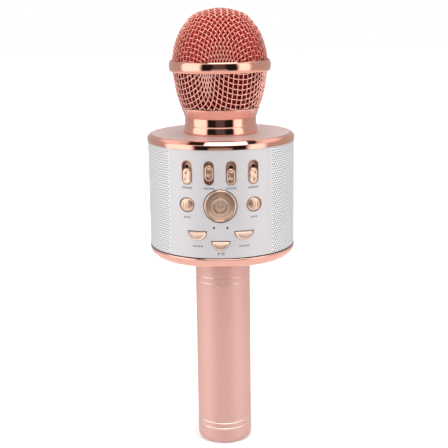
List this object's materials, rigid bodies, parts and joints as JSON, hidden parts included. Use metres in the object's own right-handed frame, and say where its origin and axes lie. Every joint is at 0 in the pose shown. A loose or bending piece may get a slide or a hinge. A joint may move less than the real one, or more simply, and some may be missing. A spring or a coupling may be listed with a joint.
{
  "type": "karaoke microphone",
  "caption": "Hand-held microphone with a round mesh head, a wide speaker drum with sliders and buttons on its front, and a straight tube handle.",
  "frame": {"origin": "centre of the handle's flat end, where it would stand on a table", "axes": "+Z along the microphone from the handle's end to the top of the grille; -Y is the front, where the controls are; +X is to the right of somebody who faces the controls"},
  "size_m": [0.0808, 0.0811, 0.245],
  "materials": {
    "polished_rose_gold": "mirror-polished rose gold plating",
    "anodised_rose_gold": "satin anodised rose gold with bright turned grooves",
    "silver_sleeve": "fine matt silver-white",
    "grille_wire": "glossy rose wire mesh",
    "dome_foam": "open-cell foam, red",
    "basket_foam": "open-cell foam, dark maroon",
    "gold_control": "glossy pink gold",
    "brushed_plate": "spun brushed bronze gold",
    "slider_tray": "brown rose gold, satin",
    "light_pipe": "smoked light pipe",
    "speaker_cloth": "black acoustic cloth",
    "black_plastic": "moulded black",
    "cone_paper": "pressed paper cone",
    "ferrite": "ferrite magnet",
    "circuit_board": "green solder mask",
    "nickel": "nickel plated",
    "cell_wrap": "shrink-wrapped cell",
    "capsule_body": "satin",
    "soft_black": "soft mount"
  },
  "bodies": {
    "microphone": {"audio_jack": "black_plastic", "battery_cell": "cell_wrap", "battery_contacts": "nickel", "battery_holder": "black_plastic", "board_chips": "black_plastic", "board_screws": "nickel", "bottom_cap": "polished_rose_gold", "capsule": "capsule_body", "capsule_base": "soft_black", "capsule_cover": "nickel", "capsule_mount": "soft_black", "capsule_post": "nickel", "card_slot": "nickel", "charging_socket": "nickel", "chassis_lower": "black_plastic", "chassis_upper": "black_plastic", "collar_nut": "nickel", "deck_screws": "nickel", "foam_basket": "basket_foam", "foam_dome": "dome_foam", "grille_band": "polished_rose_gold", "grille_base_ring": "nickel", "grille_basket": "grille_wire", "grille_dome": "grille_wire", "handle_barrel": "anodised_rose_gold", "handle_lock_ring": "nickel", "indicator_lights": "light_pipe", "main_board": "circuit_board", "neck_collar": "polished_rose_gold", "port_board": "circuit_board", "protection_board": "circuit_board", "rear_port_plate": "black_plastic", "slide_pots": "nickel", "slider_tray_1": "slider_tray", "slider_tray_2": "slider_tray", "slider_tray_3": "slider_tray", "slider_tray_4": "slider_tray", "speaker_cloth_left": "speaker_cloth", "speaker_cloth_right": "speaker_cloth", "speaker_cone_left": "cone_paper", "speaker_cone_right": "cone_paper", "speaker_frame_left": "black_plastic", "speaker_frame_right": "black_plastic", "speaker_magnet_left": "ferrite", "speaker_magnet_right": "ferrite", "speaker_sleeve": "silver_sleeve", "tact_switches": "black_plastic", "top_cap": "polished_rose_gold", "usb_socket": "nickel"},
    "slider_1": {"slider_knob_1": "gold_control"},
    "slider_2": {"slider_knob_2": "gold_control"},
    "slider_3": {"slider_knob_3": "gold_control"},
    "slider_4": {"slider_knob_4": "gold_control"},
    "power": {"power_button": "gold_control", "power_plate": "brushed_plate"},
    "previous": {"previous_button": "gold_control"},
    "next": {"next_button": "gold_control"},
    "left": {"left_button": "gold_control"},
    "right": {"right_button": "gold_control"},
    "middle": {"middle_button": "gold_control"}
  },
  "joints": [
    {"name": "slider_1_slide", "type": "slide", "parent": "microphone", "child": "slider_1", "axis": [0, 0, 1], "range_m": [0, 0.0036]},
    {"name": "slider_2_slide", "type": "slide", "parent": "microphone", "child": "slider_2", "axis": [0, 0, 1], "range_m": [-0.0018, 0.0018]},
    {"name": "slider_3_slide", "type": "slide", "parent": "microphone", "child": "slider_3", "axis": [0, 0, 1], "range_m": [0, 0.0036]},
    {"name": "slider_4_slide", "type": "slide", "parent": "microphone", "child": "slider_4", "axis": [0, 0, 1], "range_m": [0, 0.0036]},
    {"name": "power_press", "type": "slide", "parent": "microphone", "child": "power", "axis": [0, 1, 0], "range_m": [0, 0.0006], "stiffness_N_per_m": 400, "springref_m": -0.001},
    {"name": "previous_press", "type": "slide", "parent": "microphone", "child": "previous", "axis": [0, 1, 0], "range_m": [0, 0.0006], "stiffness_N_per_m": 400, "springref_m": -0.001},
    {"name": "next_press", "type": "slide", "parent": "microphone", "child": "next", "axis": [0, 1, 0], "range_m": [0, 0.0006], "stiffness_N_per_m": 400, "springref_m": -0.001},
    {"name": "left_press", "type": "slide", "parent": "microphone", "child": "left", "axis": [0, 1, 0], "range_m": [0, 0.0006], "stiffness_N_per_m": 400, "springref_m": -0.001},
    {"name": "right_press", "type": "slide", "parent": "microphone", "child": "right", "axis": [0, 1, 0], "range_m": [0, 0.0006], "stiffness_N_per_m": 400, "springref_m": -0.001},
    {"name": "middle_press", "type": "slide", "parent": "microphone", "child": "middle", "axis": [0, 1, 0], "range_m": [0, 0.0006], "stiffness_N_per_m": 400, "springref_m": -0.001}
  ]
}
